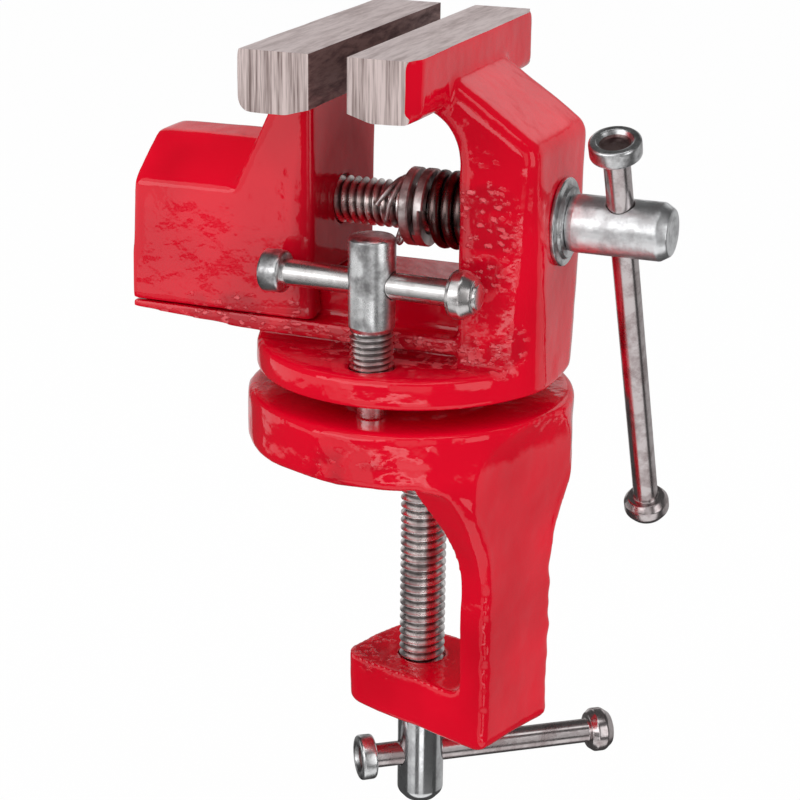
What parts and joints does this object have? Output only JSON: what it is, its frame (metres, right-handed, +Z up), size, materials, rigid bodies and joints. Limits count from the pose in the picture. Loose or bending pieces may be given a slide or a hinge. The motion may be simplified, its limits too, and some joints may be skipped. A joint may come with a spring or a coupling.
{
  "type": "swivel bench vise with table clamp",
  "caption": "Small cast bench vise that swivels on a table-edge clamp; screw-driven jaw on a dovetail rail, sliding tommy-bar handles.",
  "frame": {"origin": "on the flat underside of the bracket's round head, which rests on the table top, 20 mm from the swivel axis towards the moving jaw", "axes": "+X along the lead screw towards its handle, +Y across the vise away from the lock screw, +Z up"},
  "size_m": [0.113, 0.07, 0.1726],
  "materials": {
    "enamel_body": "thick glossy red enamel over cast iron, ground bare at the fixed jaw's top and ends",
    "enamel_jaw": "thick glossy red enamel over cast iron, ground bare at the moving jaw's top and ends",
    "enamel_bracket": "thick glossy red enamel over cast iron",
    "steel": "bright zinc-plated turned steel",
    "spring_steel": "dark oiled spring steel"
  },
  "bodies": {
    "clamp_bracket": {"clamp_bracket": "enamel_bracket"},
    "clamp_pad": {"clamp_pad": "steel"},
    "clamp_screw": {"clamp_screw": "steel"},
    "clamp_handle": {"clamp_bar": "steel", "clamp_bar_cap": "steel"},
    "vise_body": {"swivel_body": "enamel_body", "pivot_bolt": "steel", "pivot_washer": "steel"},
    "moving_jaw": {"movable_jaw": "enamel_jaw"},
    "lead_screw": {"lead_screw": "steel", "thrust_collar": "steel", "lead_spring": "spring_steel", "spring_washer": "steel", "pin_washer": "steel", "cotter_pin": "steel"},
    "lead_handle": {"lead_bar": "steel", "lead_bar_cap": "steel"},
    "lock_screw": {"lock_screw": "steel"},
    "lock_handle": {"lock_bar": "steel", "lock_bar_cap": "steel"}
  },
  "joints": [
    {"name": "swivel", "type": "hinge", "parent": "clamp_bracket", "child": "vise_body", "pos_m": [0.02, 0, 0.012], "axis": [0, 0, 1], "continuous": true},
    {"name": "lead_screw_turn", "type": "hinge", "parent": "vise_body", "child": "lead_screw", "pos_m": [0.0545, 0, 0.0505], "axis": [1, 0, 0], "range_deg": [-1604.6, 6582.9]},
    {"name": "jaw_slide", "type": "slide", "parent": "vise_body", "child": "moving_jaw", "axis": [1, 0, 0], "range_m": [-0.0321, 0.0079]},
    {"name": "lead_bar_slide", "type": "slide", "parent": "lead_screw", "child": "lead_handle", "axis": [0, -0.3811, 0.9245], "range_m": [-0.0112, 0.0664]},
    {"name": "lock_screw_turn", "type": "hinge", "parent": "vise_body", "child": "lock_screw", "pos_m": [0.0206, -0.0235, 0.0228], "axis": [0, 0, 1], "range_deg": [-1.2, 5.5]},
    {"name": "lock_bar_slide", "type": "slide", "parent": "lock_screw", "child": "lock_handle", "axis": [-0.9994, 0.0349, 0], "range_m": [-0.0141, 0.0122]},
    {"name": "clamp_screw_turn", "type": "hinge", "parent": "clamp_pad", "child": "clamp_screw", "pos_m": [0.0238, -0.00124, -0.056], "axis": [0, 0, 1], "range_deg": [-8228, 380]},
    {"name": "clamp_pad_slide", "type": "slide", "parent": "clamp_bracket", "child": "clamp_pad", "axis": [0, 0, 1], "range_m": [-0.0401, 0.0019]},
    {"name": "clamp_bar_slide", "type": "slide", "parent": "clamp_screw", "child": "clamp_handle", "axis": [0.7923, 0.6101, 0], "range_m": [-0.0341, 0.0044]}
  ],
  "couplings": [
    {"joint": "jaw_slide", "follows": "lead_screw_turn", "m_per_rad": -0.00027852},
    {"joint": "clamp_pad_slide", "follows": "clamp_screw_turn", "m_per_rad": 0.00027852}
  ]
}
